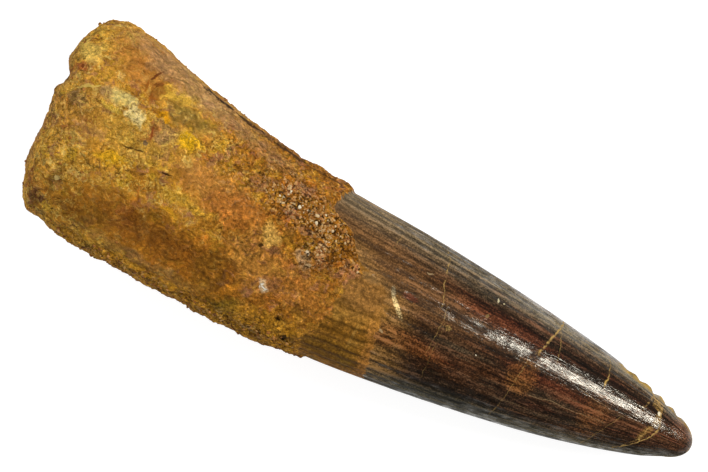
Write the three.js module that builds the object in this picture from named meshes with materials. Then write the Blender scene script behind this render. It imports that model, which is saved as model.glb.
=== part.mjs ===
// A fossil tooth of a spinosaur, lying on its side on a small flat spot.
//
// It is one solid. The crown is a slender, slightly bent cone with shallow flutes, chipped along its
// back edge near the worn point. The root behind it is stouter and oval, carries a thin crust of sandy
// rock with a dished place on its upper side, and is broken off bluntly round its pulp hollow.
//
// Millimetres. +X points to the tip, +Y to the straighter back edge and +Z up. The origin lies on the
// surface that the tooth rests on, under the middle of the tooth.

import * as THREE from "three";

// ---------------------------------------------------------------- driving dimensions

const LENGTH = 102;
const TIP_X = LENGTH / 2;

const FLUTE_COUNT = 40; // round the whole crown
const FLUTE_HEIGHT = 0.2; // from a groove to the ridge beside it, at the crown's base
const FLUTE_TAPER = 0.5; // share of that height left at the tip's end of the flutes
const FLUTES_RISE = 3; // length over which they come up from under the crust
const FLUTES_FADE = { from: TIP_X - 8, to: TIP_X - 1.5 }; // where wear has taken them off

const CRUST_HEIGHT = 0.45; // how far the sandy crust stands above the enamel
const CRUST_BEVEL = 1.3; // width of the slope at its edge
const LUMPS = { height: 0.38, size: 2.1 }; // clots of sand
const WAVES = { height: 0.35, size: 6.5 }; // slow unevenness of the bone under them

const TIP_DOME = 2.9; // length of the rounded point
const DOME_START = 30; // degrees: where its arc starts, so that it carries on the crown's taper
const END_X = 0.7 - LENGTH / 2; // the middle of the broken end
const END_SLANT = 0.09; // how far the break leans out towards the back edge, per millimetre of Y
const END_BULGE = 0.55; // the break is rounder the nearer this is to 1 and flatter the nearer to 0
const END_NOTCH = { y: 4.9, halfWidth: 1.5, depth: 0.9 }; // a piece gone from the top of the break
const PULP_HOLLOW = 1.3; // depth of the pulp hollow in the broken end
const PULP_RIM = { inner: 0.37, outer: 0.62 }; // where its wall stands, as shares of the end's size

// The exponent of the oval section, where 2 is an ellipse: it eases from the root's to the crown's.
const SQUARENESS = { root: 2.4, crown: 2, from: -30, to: 10 };

// The four edges of the bare tooth, without its crust, at places along it: the back and front edges as
// seen from above, the underside and the top as seen from the front.
const STATIONS = [
  { x: -45, back: 15.3, front: -13.6, under: 1.8, over: 21.8 },
  { x: -41, back: 14.7, front: -14.3, under: 1.4, over: 22.0 },
  { x: -32, back: 12.9, front: -14.7, under: 0.7, over: 21.6 },
  { x: -20, back: 10.9, front: -14.6, under: 0.2, over: 20.6 },
  { x: -8, back: 10.0, front: -13.9, under: 0.2, over: 19.7 },
  { x: 5, back: 9.8, front: -12.3, under: 0.4, over: 18.5 },
  { x: 18, back: 9.1, front: -10.2, under: 0.9, over: 17.0 },
  { x: 30, back: 8.0, front: -7.7, under: 2.2, over: 15.3 },
  { x: 38, back: 6.9, front: -5.5, under: 3.4, over: 13.8 },
  { x: 45, back: 5.4, front: -3.1, under: 4.9, over: 12.1 },
  { x: TIP_X - TIP_DOME, back: 4.3, front: -1.6, under: 5.8, over: 10.9 },
];

// Where the crust ends and the bare enamel begins, as X at angles round the tooth. Angle 0 is the back
// edge, 90 the top, 180 the front edge and 270 the underside.
const CRUST_EDGE = [
  { angle: 0, x: -7.8 },
  { angle: 50, x: -8.2 },
  { angle: 62, x: -5.0 },
  { angle: 76, x: -2.6 },
  { angle: 90, x: -0.8 },
  { angle: 110, x: -2.4 },
  { angle: 140, x: -4.4 },
  { angle: 175, x: -2.4 },
  { angle: 230, x: -5.0 },
  { angle: 300, x: -8.5 },
];

// Hollows pressed into the surface and lumps standing on it. Each lies on the upper side at (x, y), is
// an oval of two half sizes, and has a height that is negative for a hollow.
const MARKS = {
  dished_side: { x: -29.5, y: -8.6, along: 12, across: 3.4, height: -1.0 },
  ridge_beside_it: { x: -33, y: -3.4, along: 8, across: 1.8, height: 0.45 },
  back_groove: { x: -23, y: 10.4, along: 8.5, across: 1.0, height: -0.55 },
  upper_saddle: { x: -35, y: 7.6, along: 6, across: 3, height: -0.5 },
  crust_hump: { x: -12, y: 3, along: 7, across: 4, height: 0.4 },
  crust_nodule: { x: -4.6, y: -0.8, along: 1.6, across: 1.6, height: 0.4 },
};

// Notches where flakes have gone from the back edge of the crown near the point.
const CHIPS = [
  { x: 38.0, halfLength: 1.3, depth: 0.28 },
  { x: 40.3, halfLength: 1.0, depth: 0.34 },
  { x: 42.9, halfLength: 0.9, depth: 0.45 },
  { x: 45.1, halfLength: 1.1, depth: 0.5 },
  { x: 47.2, halfLength: 0.9, depth: 0.32 },
];
const CHIP_REACH = 30; // degrees round the tooth on each side of the back edge

// Where the crust under the tooth is worn level, so that the tooth lies still.
const FLAT_SPOT = { x: -14, y: -1.5, along: 15, across: 7 };

const AROUND = 2 * FLUTE_COUNT; // a ridge and a groove for each flute
const DOME_RINGS = 5;
const END_RINGS = 8;

// Rings from the dome of the point back to the broken end: close together where the surface is broken
// up by chips or crust, far apart where only the flutes run along it.
const STRETCHES = [
  { to: 37, rings: 14 },
  { to: 1, rings: 6 },
  { to: STATIONS[0].x, rings: 30 },
];

// ---------------------------------------------------------------- helpers

const toRadians = THREE.MathUtils.degToRad;
const smooth = THREE.MathUtils.smoothstep;

/** A smooth curve y(x) through a list of points. */
function curveThrough(points) {
  const slopes = points.map((p, i) => {
    const before = points[Math.max(i - 1, 0)];
    const after = points[Math.min(i + 1, points.length - 1)];
    return (after.y - before.y) / (after.x - before.x);
  });
  return (x) => {
    let i = 0;
    while (i < points.length - 2 && x > points[i + 1].x) i += 1;
    const span = points[i + 1].x - points[i].x;
    const t = THREE.MathUtils.clamp((x - points[i].x) / span, 0, 1);
    const rise = points[i + 1].y - points[i].y;
    const bendIn = slopes[i] * span - rise;
    const bendOut = rise - slopes[i + 1] * span;
    return points[i].y + t * rise + t * (1 - t) * ((1 - t) * bendIn + t * bendOut);
  };
}

/** A closed curve x(angle) in degrees, eased from each point to the next. */
function ringCurve(points) {
  const closed = [...points, { angle: points[0].angle + 360, x: points[0].x }];
  return (angle) => {
    const turned = THREE.MathUtils.euclideanModulo(angle, 360);
    const i = closed.findIndex((p) => p.angle > turned) - 1;
    const share = smooth(turned, closed[i].angle, closed[i + 1].angle);
    return THREE.MathUtils.lerp(closed[i].x, closed[i + 1].x, share);
  };
}

/** A repeatable number from 0 to 1 for each corner of a unit grid. */
function hash(i, j, k) {
  const s = Math.sin(i * 127.1 + j * 311.7 + k * 74.7) * 43758.5453;
  return s - Math.floor(s);
}

/** Smooth noise from -1 to 1 at a point, with lumps about as wide as the given size. */
function lumpsAt(point, size) {
  const place = point.toArray().map((v) => v / size);
  const cell = place.map(Math.floor);
  const ease = place.map((v, i) => smooth(v - cell[i], 0, 1));
  let sum = 0;
  for (let corner = 0; corner < 8; corner += 1) {
    const step = [corner & 1, (corner >> 1) & 1, corner >> 2];
    const weight = step.reduce((w, s, i) => w * (s ? ease[i] : 1 - ease[i]), 1);
    sum += weight * hash(cell[0] + step[0], cell[1] + step[1], cell[2] + step[2]);
  }
  return 2 * sum - 1;
}

// ---------------------------------------------------------------- the tooth's form

const edge = {};
for (const name of ["back", "front", "under", "over"]) {
  edge[name] = curveThrough(STATIONS.map((s) => ({ x: s.x, y: s[name] })));
}
const crustEdge = ringCurve(CRUST_EDGE);

/** The middle, half sizes and squareness of the oval section at x. */
function sectionAt(x) {
  return {
    y: (edge.back(x) + edge.front(x)) / 2,
    z: (edge.over(x) + edge.under(x)) / 2,
    halfWidth: (edge.back(x) - edge.front(x)) / 2,
    halfHeight: (edge.over(x) - edge.under(x)) / 2,
    squareness: THREE.MathUtils.lerp(
      SQUARENESS.root,
      SQUARENESS.crown,
      smooth(x, SQUARENESS.from, SQUARENESS.to),
    ),
  };
}

/** 1 in the middle of an oval, falling softly to 0 at about twice its half sizes. */
function within(oval, point) {
  return Math.exp(-(((point.x - oval.x) / oval.along) ** 2) - ((point.y - oval.y) / oval.across) ** 2);
}

/** 1 on the upper side, 0 on the underside and eased between them at the edges. */
function topShare(degrees) {
  return smooth(Math.sin(toRadians(degrees)), -0.3, 0.1);
}

/** How far the surface stands out from the smooth form at a point of it. */
function relief(x, degrees, point) {
  const fromCrust = x - crustEdge(degrees);
  const crust = 1 - smooth(fromCrust, -CRUST_BEVEL / 2, CRUST_BEVEL / 2);
  const bare = smooth(fromCrust, 0, FLUTES_RISE) * (1 - smooth(x, FLUTES_FADE.from, FLUTES_FADE.to));
  const taper = THREE.MathUtils.mapLinear(x, 0, TIP_X, 1, FLUTE_TAPER);
  const flutes = (FLUTE_HEIGHT / 2) * taper * bare * Math.cos(FLUTE_COUNT * toRadians(degrees));

  const facesUp = topShare(degrees);
  const worn = (1 - facesUp) * within(FLAT_SPOT, point);
  const uneven = LUMPS.height * lumpsAt(point, LUMPS.size) + WAVES.height * lumpsAt(point, WAVES.size);
  const crusted = crust * (CRUST_HEIGHT + (1 - worn) * uneven);

  let marks = 0;
  for (const mark of Object.values(MARKS)) marks += mark.height * within(mark, point);

  const offEdge = Math.abs(degrees > 180 ? degrees - 360 : degrees) / CHIP_REACH;
  let chips = 0;
  for (const chip of CHIPS) {
    const share = Math.abs(x - chip.x) / chip.halfLength + offEdge ** 2;
    chips -= chip.depth * Math.max(0, 1 - share);
  }
  return flutes + crusted + facesUp * marks + chips;
}

/** The point of the tooth's surface at one step of its length and one angle round it. */
function surfacePoint(step, degrees) {
  const { x, shrink, hollow } = step;
  const section = sectionAt(THREE.MathUtils.clamp(x, STATIONS[0].x, STATIONS.at(-1).x));
  const across = Math.cos(toRadians(degrees));
  const up = Math.sin(toRadians(degrees));
  const power = section.squareness;
  const swell = (Math.abs(across) ** power + Math.abs(up) ** power) ** (-1 / power);
  const out = new THREE.Vector3(0, across / section.halfWidth, up / section.halfHeight).normalize();
  const point = new THREE.Vector3(
    x,
    section.y + shrink * swell * section.halfWidth * across,
    section.z + shrink * swell * section.halfHeight * up,
  );
  point.addScaledVector(out, shrink * relief(x, degrees, point));
  if (x < STATIONS[0].x) {
    const broken = 1 - smooth(x, END_X, STATIONS[0].x);
    const rough = LUMPS.height * lumpsAt(point, LUMPS.size);
    const offNotch = (point.y - END_NOTCH.y) / END_NOTCH.halfWidth;
    const notch = END_NOTCH.depth * topShare(degrees) * Math.exp(-(offNotch ** 2));
    point.x += broken * (rough + notch - END_SLANT * point.y) + hollow;
  }
  point.z = Math.max(point.z, 0);
  return point;
}

/** The steps along the tooth: where each ring lies, how small it is, and how deep in the hollow. */
function lengthSteps() {
  const steps = [];
  let from = STATIONS.at(-1).x;
  const start = toRadians(DOME_START);
  for (let i = 0; i <= DOME_RINGS; i += 1) {
    const angle = THREE.MathUtils.lerp(Math.PI / 2, start, i / DOME_RINGS);
    const reach = (Math.sin(angle) - Math.sin(start)) / (1 - Math.sin(start));
    const x = THREE.MathUtils.lerp(from, TIP_X, reach);
    steps.push({ x, shrink: Math.cos(angle) / Math.cos(start), hollow: 0 });
  }
  for (const stretch of STRETCHES) {
    for (let i = 1; i <= stretch.rings; i += 1) {
      const x = THREE.MathUtils.mapLinear(i, 0, stretch.rings, from, stretch.to);
      steps.push({ x, shrink: 1, hollow: 0 });
    }
    from = stretch.to;
  }
  for (let i = 1; i <= END_RINGS; i += 1) {
    const angle = (Math.PI / 2) * (i / END_RINGS);
    const x = THREE.MathUtils.lerp(from, END_X, Math.sin(angle));
    const shrink = i === END_RINGS ? 0 : Math.cos(angle) ** END_BULGE;
    const hollow = PULP_HOLLOW * (1 - smooth(shrink, PULP_RIM.inner, PULP_RIM.outer));
    steps.push({ x, shrink, hollow });
  }
  return steps;
}

/** A closed skin over all the rings, with one point at the tip and one in the hollow of the break. */
function toothGeometry() {
  const steps = lengthSteps();
  const rings = steps.slice(1, -1);
  const corners = [surfacePoint(steps[0], 0)];
  for (const ring of rings) {
    for (let i = 0; i < AROUND; i += 1) corners.push(surfacePoint(ring, (360 * i) / AROUND));
  }
  corners.push(surfacePoint(steps.at(-1), 0));

  const corner = (ring, i) => 1 + ring * AROUND + (i % AROUND);
  const end = corners.length - 1;
  const last = rings.length - 1;
  const faces = [];
  for (let i = 0; i < AROUND; i += 1) {
    faces.push(0, corner(0, i), corner(0, i + 1));
    for (let ring = 0; ring < last; ring += 1) {
      faces.push(corner(ring, i), corner(ring + 1, i), corner(ring + 1, i + 1));
      faces.push(corner(ring, i), corner(ring + 1, i + 1), corner(ring, i + 1));
    }
    faces.push(corner(last, i), end, corner(last, i + 1));
  }
  const geometry = new THREE.BufferGeometry().setFromPoints(corners);
  geometry.setIndex(faces);
  geometry.computeVertexNormals();
  return geometry;
}

// ---------------------------------------------------------------- the model

const fossil = new THREE.MeshStandardMaterial({ color: 0x6b4a26, roughness: 0.5, metalness: 0 });

const tooth = new THREE.Mesh(toothGeometry(), fossil);
tooth.name = "tooth";

const group = new THREE.Group();
group.add(tooth);

export default group;
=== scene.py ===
# %% [markdown]
# # A fossil spinosaur tooth, lying on its side
#
# The tooth is one piece: a long fluted crown of dark enamel on a stout root, with a crust of sandy rock
# that has set hard over the root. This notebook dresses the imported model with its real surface. The
# form is laid down first as a smooth skin. Geometry Nodes then raise the relief that follows it, such
# as the flutes, and scatter loose sand grains, which are a piece of their own. One material carries the
# tooth's three finishes.

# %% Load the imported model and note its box
import math
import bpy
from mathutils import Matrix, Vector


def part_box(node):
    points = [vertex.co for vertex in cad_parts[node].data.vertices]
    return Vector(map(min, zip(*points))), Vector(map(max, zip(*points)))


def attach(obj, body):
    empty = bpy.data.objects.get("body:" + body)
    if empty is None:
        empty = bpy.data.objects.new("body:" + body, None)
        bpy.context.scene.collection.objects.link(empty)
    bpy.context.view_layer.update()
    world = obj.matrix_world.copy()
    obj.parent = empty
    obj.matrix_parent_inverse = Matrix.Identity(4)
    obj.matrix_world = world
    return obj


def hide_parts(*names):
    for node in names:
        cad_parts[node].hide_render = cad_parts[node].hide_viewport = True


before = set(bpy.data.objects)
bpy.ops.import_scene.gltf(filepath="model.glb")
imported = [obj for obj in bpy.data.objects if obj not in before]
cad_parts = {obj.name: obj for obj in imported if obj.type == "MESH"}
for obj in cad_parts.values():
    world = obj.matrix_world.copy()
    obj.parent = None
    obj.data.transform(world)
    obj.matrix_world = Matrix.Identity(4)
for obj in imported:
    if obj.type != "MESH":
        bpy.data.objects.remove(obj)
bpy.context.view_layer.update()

from types import SimpleNamespace

import bpy
import numpy as np
from mathutils import Matrix, Vector

MM = 0.001
cad_low, cad_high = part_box("tooth")
print("the solid measures", [round((h - l) / MM, 1) for l, h in zip(cad_low, cad_high)], "mm")

# %% [markdown]
# ## Formulas instead of wires
#
# Relief and finishes are formulas: a ridge is a cosine, a crack is a distance. Wiring such formulas node
# by node is slow to read, so a small class wraps each result of a node. Arithmetic on it adds the Math
# nodes. It serves for geometry trees and for materials alike.

# %% One result of a node
class Wire:
    """One number, vector or colour that a node gives out. Arithmetic is for numbers only."""

    def __init__(self, graph, socket):
        self.graph = graph
        self.socket = socket

    def maths(self, operation, *values):
        return self.graph.node("ShaderNodeMath", {"operation": operation}, values)

    def __add__(self, other):
        return self.maths("ADD", self, other)

    def __radd__(self, other):
        return self.maths("ADD", other, self)

    def __sub__(self, other):
        return self.maths("SUBTRACT", self, other)

    def __rsub__(self, other):
        return self.maths("SUBTRACT", other, self)

    def __mul__(self, other):
        return self.maths("MULTIPLY", self, other)

    def __rmul__(self, other):
        return self.maths("MULTIPLY", other, self)

    def __truediv__(self, other):
        return self.maths("DIVIDE", self, other)

    def __rtruediv__(self, other):
        return self.maths("DIVIDE", other, self)

    def __pow__(self, other):
        return self.maths("POWER", self, other)

    def __rpow__(self, other):
        return self.maths("POWER", other, self)

    def __neg__(self):
        return self.maths("MULTIPLY", self, -1.0)

    def __abs__(self):
        return self.maths("ABSOLUTE", self)

    def cos(self):
        return self.maths("COSINE", self)

    def sin(self):
        return self.maths("SINE", self)

    def exp(self):
        return self.maths("EXPONENT", self)

    def least(self, other):
        return self.maths("MINIMUM", self, other)

    def most(self, other):
        return self.maths("MAXIMUM", self, other)

    def step(self, low, high):
        """0 below low, 1 above high and an eased slope between them. It falls if low is above high."""
        rising = low < high
        ends = {"From Min": min(low, high), "From Max": max(low, high)}
        ends.update({"To Min": 0.0 if rising else 1.0, "To Max": 1.0 if rising else 0.0})
        settings = {"interpolation_type": "SMOOTHSTEP"}
        return self.graph.node("ShaderNodeMapRange", settings, {"Value": self, **ends})

    def also(self, key):
        """Another result of the same node."""
        return Wire(self.graph, find_socket(self.socket.node.outputs, key))


def find_socket(sockets, key):
    """A socket by its place, its identifier or its name."""
    if isinstance(key, int):
        return sockets[key]
    by_identifier = [s for s in sockets if s.identifier == key]
    return (by_identifier or [s for s in sockets if s.name == key and s.enabled])[0]


# %% The graph that makes the nodes
class Graph:
    """A node tree, and the one way in which nodes are added to it."""

    def __init__(self, tree):
        self.tree = tree

    def node(self, kind, settings=None, values=(), result=0):
        """Adds a node: its settings first, then the values or wires of its sockets."""
        node = self.tree.nodes.new(kind)
        for name, setting in (settings or {}).items():
            if name == "stops":
                fill_ramp(node.color_ramp, setting)
            elif name == "points":
                fill_curve(node.mapping, setting)
            else:
                setattr(node, name, setting)
        pairs = values.items() if isinstance(values, dict) else enumerate(values)
        for key, value in pairs:
            socket = find_socket(node.inputs, key)
            if isinstance(value, Wire):
                self.tree.links.new(value.socket, socket)
            else:
                socket.default_value = value
        return Wire(self, find_socket(node.outputs, result)) if len(node.outputs) else node

    def vector(self, operation, *values, result=0):
        return self.node("ShaderNodeVectorMath", {"operation": operation}, values, result)

    def combine(self, x, y, z):
        return self.node("ShaderNodeCombineXYZ", {}, (x, y, z))

    def separate(self, vector):
        first = self.node("ShaderNodeSeparateXYZ", {}, (vector,))
        return first, first.also(1), first.also(2)

    def scaled(self, vector, factor):
        """A vector made longer or shorter, or a colour made brighter or darker in the same hue."""
        return self.node("ShaderNodeVectorMath", {"operation": "SCALE"}, {0: vector, "Scale": factor})

    def noise(self, place, size, detail=2.0, roughness=0.5, moved=None, squeezed=None):
        """Noise from -1 to 1, with lumps about as wide as size in the units of place."""
        if moved:
            place = self.vector("ADD", place, moved)
        if squeezed:
            place = self.vector("MULTIPLY", place, squeezed)
        values = {"Vector": place, "Scale": 1 / size, "Detail": detail, "Roughness": roughness}
        return self.node("ShaderNodeTexNoise", {}, values) * 2 - 1

    def swayed(self, place, source, per_mm, detail, reach):
        """A place moved about by noise that is read at source, by half of reach at most each way."""
        values = {"Vector": source, "Scale": per_mm, "Detail": detail}
        sway = self.node("ShaderNodeTexNoise", {}, values, "Color")
        centred = self.vector("SUBTRACT", sway, (0.5, 0.5, 0.5))
        return self.vector("MULTIPLY_ADD", centred, (reach, reach, reach), place)

    def cells(self, place, per_mm):
        """The distance to the nearest of many scattered points, so many to a millimetre."""
        return self.node("ShaderNodeTexVoronoi", {"feature": "F1"}, {"Vector": place, "Scale": per_mm})

    def curve(self, value, points, ends):
        """y(x) through points given as (x, y). The x and y of points lie within ends = (x0, x1, y0, y1)."""
        x0, x1, y0, y1 = ends
        shares = [((x - x0) / (x1 - x0), (y - y0) / (y1 - y0)) for x, y in points]
        if (x0, x1) != (0.0, 1.0):
            value = (value - x0) / (x1 - x0)
        height = self.node("ShaderNodeFloatCurve", {"points": shares}, {"Value": value})
        return height if (y0, y1) == (0.0, 1.0) else height * (y1 - y0) + y0


def fill_ramp(ramp, stops):
    while len(ramp.elements) > 1:
        ramp.elements.remove(ramp.elements[-1])
    ramp.elements[0].position, ramp.elements[0].color = stops[0]
    for position, colour in stops[1:]:
        ramp.elements.new(position).color = colour


def fill_curve(mapping, points):
    mapping.extend = "HORIZONTAL"
    curve = mapping.curves[0]
    curve.points[0].location = points[0]
    curve.points[1].location = points[-1]
    for place in points[1:-1]:
        curve.points.new(*place)
    for point in curve.points:
        point.handle_type = "VECTOR"
    mapping.update()


# %% [markdown]
# ## The smooth form
#
# Under its relief the tooth is a bent cone that swells into an oval root. A lathe can't make it, because
# it is curved and its section changes, so rings are laid along it between four edges: back, front,
# underside and top. Each ring is an oval that grows squarer towards the root. The rings close in a
# rounded point at one end and in a blunt break at the other. They lie closer together where the crust
# will need them.

# %% The edges of the tooth, in millimetres
# The point: where it is, the length of its dome, and how far round the dome begins.
TIP_X = cad_high.x / MM
TIP_DOME = 2.9
DOME_START = math.radians(30)
# The break: where it is, its slant, how it bulges, and the shallow pulp hollow in it with its rim.
END_X = 1.2 - TIP_X
END_SLANT = 0.09
END_BULGE = 0.55
PULP_HOLLOW = 1.3
PULP_RIM = (0.37, 0.62)

STATION_X = [-45, -41, -32, -20, -8, 5, 18, 30, 38, 45, TIP_X - TIP_DOME]
EDGES = {
    "back": [15.3, 14.7, 12.9, 10.9, 10.0, 9.8, 9.1, 8.0, 6.9, 5.4, 4.3],
    "front": [-13.6, -14.3, -14.7, -14.6, -13.9, -12.3, -10.2, -7.7, -5.5, -3.1, -1.6],
    "under": [1.8, 1.4, 0.7, 0.2, 0.2, 0.4, 0.9, 2.2, 3.4, 4.9, 5.8],
    "over": [21.8, 22.0, 21.6, 20.6, 19.7, 18.5, 17.0, 15.3, 13.8, 12.1, 10.9],
}
ROOT_SQUARENESS = 2.4
CROWN_SQUARENESS = 2.0
SECTION_CHANGE = (-30, 10)


def ease(value, low, high):
    """0 below low, 1 above high and an eased slope between them, for plain numbers."""
    share = np.clip((value - low) / (high - low), 0, 1)
    return share * share * (3 - 2 * share)


def edge_at(name, x):
    """The place of one edge at x, on a smooth curve through its stations."""
    xs = np.array(STATION_X, float)
    ys = np.array(EDGES[name], float)
    before = np.maximum(np.arange(len(xs)) - 1, 0)
    after = np.minimum(np.arange(len(xs)) + 1, len(xs) - 1)
    slopes = (ys[after] - ys[before]) / (xs[after] - xs[before])
    x = np.clip(x, xs[0], xs[-1])
    i = np.clip(np.searchsorted(xs, x) - 1, 0, len(xs) - 2)
    span = xs[i + 1] - xs[i]
    share = (x - xs[i]) / span
    rise = ys[i + 1] - ys[i]
    bend = (1 - share) * (slopes[i] * span - rise) + share * (rise - slopes[i + 1] * span)
    return ys[i] + share * rise + share * (1 - share) * bend


print("stations:", len(STATION_X), "from", STATION_X[0], "to", round(STATION_X[-1], 1), "mm")

# %% Where each ring lies, how small it is and how far it is set into the pulp hollow
AROUND = 300
DOME_RINGS = 14
END_RINGS = 26
# Stretches of even rings, from the point on: where each stops and how many rings it has.
STRETCHES = ((37, 44), (2, 66), (STATION_X[0], 166))


def length_rings():
    """Rows of (x, shrink, hollow), from the point to the broken end."""
    rows = []
    start = STATION_X[-1]
    for angle in np.linspace(math.pi / 2, DOME_START, DOME_RINGS + 1):
        reach = (math.sin(angle) - math.sin(DOME_START)) / (1 - math.sin(DOME_START))
        rows.append((start + (TIP_X - start) * reach, math.cos(angle) / math.cos(DOME_START), 0.0))
    for stop, count in STRETCHES:
        rows += [(x, 1.0, 0.0) for x in np.linspace(start, stop, count + 1)[1:]]
        start = stop
    for angle in np.linspace(0, math.pi / 2, END_RINGS + 1)[1:]:
        shrink = max(math.cos(angle), 0) ** END_BULGE
        hollow = PULP_HOLLOW * (1 - ease(shrink, *PULP_RIM))
        rows.append((start + (END_X - start) * math.sin(angle), shrink, hollow))
    return np.array(rows)


def skin_corners():
    """Corners of all rings but the two poles, as (ring, around, xyz), and each ring's x before the slant."""
    rings = length_rings()
    x, shrink, hollow = (column[:, None] for column in rings.T)
    angle = np.radians(-90 + 360 * np.arange(AROUND) / AROUND)[None, :]
    back, front, under, over = (edge_at(name, x) for name in ("back", "front", "under", "over"))
    power = ROOT_SQUARENESS + (CROWN_SQUARENESS - ROOT_SQUARENESS) * ease(x, *SECTION_CHANGE)
    across, up = np.cos(angle), np.sin(angle)
    swell = (np.abs(across) ** power + np.abs(up) ** power) ** (-1 / power)
    y = (back + front) / 2 + shrink * swell * (back - front) / 2 * across
    z = (over + under) / 2 + shrink * swell * (over - under) / 2 * up
    broken = 1 - ease(x, END_X, STATION_X[0])
    return np.stack([x - broken * END_SLANT * y + hollow, y, z], axis=-1), rings[:, 0]


print("rings:", len(length_rings()) - 2, "of", AROUND, "corners, and a pole at each end")

# %% [markdown]
# A mesh needs coordinates for its colours too. Here they are the share of a turn and the place along the
# tooth, kept both as attributes, which the relief reads, and as a UV map, which the finishes read.

# %% Build the skin
SEAM_REACH = 0.1


def new_object(name, data):
    """An object in the scene that holds a mesh, a light or a camera."""
    made = bpy.data.objects.new(name, data)
    bpy.context.scene.collection.objects.link(made)
    return made


def smooth_skin(name):
    corners, along = skin_corners()
    count = len(corners)
    inner = corners[1:-1].reshape(-1, 3)
    points = np.concatenate([corners[0, :1], inner, corners[-1, :1]]) * MM
    ring, i = np.meshgrid(np.arange(count - 3), np.arange(AROUND), indexing="ij")
    here = 1 + ring * AROUND + i
    there = 1 + ring * AROUND + (i + 1) % AROUND
    sides = np.stack([here, here + AROUND, there + AROUND, there], axis=-1).reshape(-1, 4)
    turn = np.arange(AROUND)
    tip_fan = np.stack([np.zeros(AROUND, int), 1 + turn, 1 + (turn + 1) % AROUND], axis=-1)
    last = 1 + (count - 3) * AROUND
    pole = np.full(AROUND, len(points) - 1)
    end_fan = np.stack([last + turn, pole, last + (turn + 1) % AROUND], axis=-1)
    faces = sides.tolist() + tip_fan.tolist() + end_fan.tolist()
    mesh = bpy.data.meshes.new(name)
    mesh.from_pydata(points.tolist(), [], faces)

    share = turn / AROUND
    ring_x = np.repeat(along[1:-1], AROUND)
    around = np.concatenate([[0.5], np.tile(share, count - 2), [0.5]])
    along_all = np.concatenate([along[:1], ring_x, along[-1:]])
    for label, values in (("around", around), ("along", along_all)):
        mesh.attributes.new(label, "FLOAT", "POINT").data.foreach_set("value", values)

    corner_points = np.zeros(len(mesh.loops), int)
    mesh.loops.foreach_get("vertex_index", corner_points)
    u = around[corner_points]
    face_of_corner = np.repeat(np.arange(len(faces)), [len(f) for f in faces])
    # A face across the seam counts on past a whole turn, so that its colours don't run backwards.
    across_seam = np.maximum.reduceat(u, np.cumsum([0] + [len(f) for f in faces[:-1]])) > 1 - SEAM_REACH
    u = np.where(across_seam[face_of_corner] & (u < SEAM_REACH), u + 1, u)
    v = (along_all[corner_points] - END_X) / (TIP_X - END_X)
    layer = mesh.uv_layers.new(name="wrap")
    layer.data.foreach_set("uv", np.stack([u, v], axis=-1).ravel())
    mesh.polygons.foreach_set("use_smooth", [True] * len(faces))
    mesh.update()
    return new_object(name, mesh)


tooth = smooth_skin("fossil_tooth")
print("smooth skin:", len(tooth.data.vertices), "points,", len(tooth.data.polygons), "faces")

# %% [markdown]
# ## Relief that follows the skin
#
# The flutes, the crust's step, its clots of sand, pits and hollows all stand at right angles to the skin.
# Geometry Nodes suit that: each is a height in millimetres, the heights are summed, and one Set Position
# moves the skin out by the sum. A second one keeps it from sinking through the floor. The tree also notes
# where crust and dark enamel begin, so that the colours later meet the relief exactly.

# %% Where crust and dark enamel begin: millimetres along at degrees round, with 0 at the back edge
CRUST_EDGE = (
    (-90, -6.5), (-40, -7.5), (0, -7.5), (37, -8.6), (46, -9.2), (51, -7.2), (55, -5.0), (62, -4.2),
    (71, -2.6), (79, -0.8), (85, -1.7), (106, -2.6), (128, -3.3), (145, -4.7), (180, -2.6),
    (225, -5.0), (270, -6.5),
)
ENAMEL_EDGE = (
    (-90, -1.0), (-40, -6.5), (0, -7.5), (37, -8.6), (46, -9.2), (51, -7.2), (55, -5.0), (62, -4.2),
    (71, -2.6), (77, 0.8), (82, 2.9), (88, 3.4), (94, 4.3), (113, 4.7), (122, 5.4), (136, 5.7),
    (170, 6.1), (210, 4.6), (270, -1.0),
)
# What both curves can hold: shares of a turn from 0 to 1, and millimetres from -12 to 12.
EDGE_ENDS = (0.0, 1.0, -12.0, 12.0)


def turned_edge(points):
    """The same edge at shares of a turn, counted from the underside."""
    return [((degrees + 90) / 360, x) for degrees, x in points]


def turn_angle(around):
    """The angle at a share of a turn: 0 at the back edge and a right angle at the top."""
    return around * math.tau - math.pi / 2


print("the crust ends between", min(x for _, x in CRUST_EDGE), "and", max(x for _, x in CRUST_EDGE), "mm")

# %% [markdown]
# Flutes are even round the crown but wander a little, as on any grown thing. Both the relief and the
# colours follow them, so their count and their sway are set once. Noise that is read on a short, fat
# barrel instead of on the long tooth comes out as streaks along it.

# %% Flutes and streaks
FLUTE_COUNT = 40.0
# The barrel is as thick as the tooth, in millimetres, but so many times shorter.
BARREL_RADIUS = 8.0
BARREL_SHORTENING = 9.0


def barrel_place(g, angle, along):
    """The place on the barrel that stands for a place on the tooth."""
    return g.combine(angle.cos() * BARREL_RADIUS, angle.sin() * BARREL_RADIUS, along / BARREL_SHORTENING)


def flute_sway(g, place, barrel):
    """How far the flutes wander from an even spread, in radians of their own wave."""
    return g.noise(place, 14.0) * 0.9 + g.noise(barrel, 2.2, detail=1) * 2.2


# %% Oval places
def oval_frame(spot):
    """Centre and both axes of an oval: x, y, half sizes along and across, turn in degrees."""
    x, y, along, across, turn = spot
    cos, sin = math.cos(math.radians(turn)), math.sin(math.radians(turn))
    return (x, y, 0.0), (cos / along, sin / along, 0.0), (-sin / across, cos / across, 0.0)


def off_centre(g, place, centre, along_axis, across_axis):
    """0 in the middle of an oval and 1 on its rim, as a square."""
    apart = g.vector("SUBTRACT", place, centre)
    u = g.vector("DOT_PRODUCT", apart, along_axis, result="Value")
    v = g.vector("DOT_PRODUCT", apart, across_axis, result="Value")
    return u * u + v * v


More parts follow.
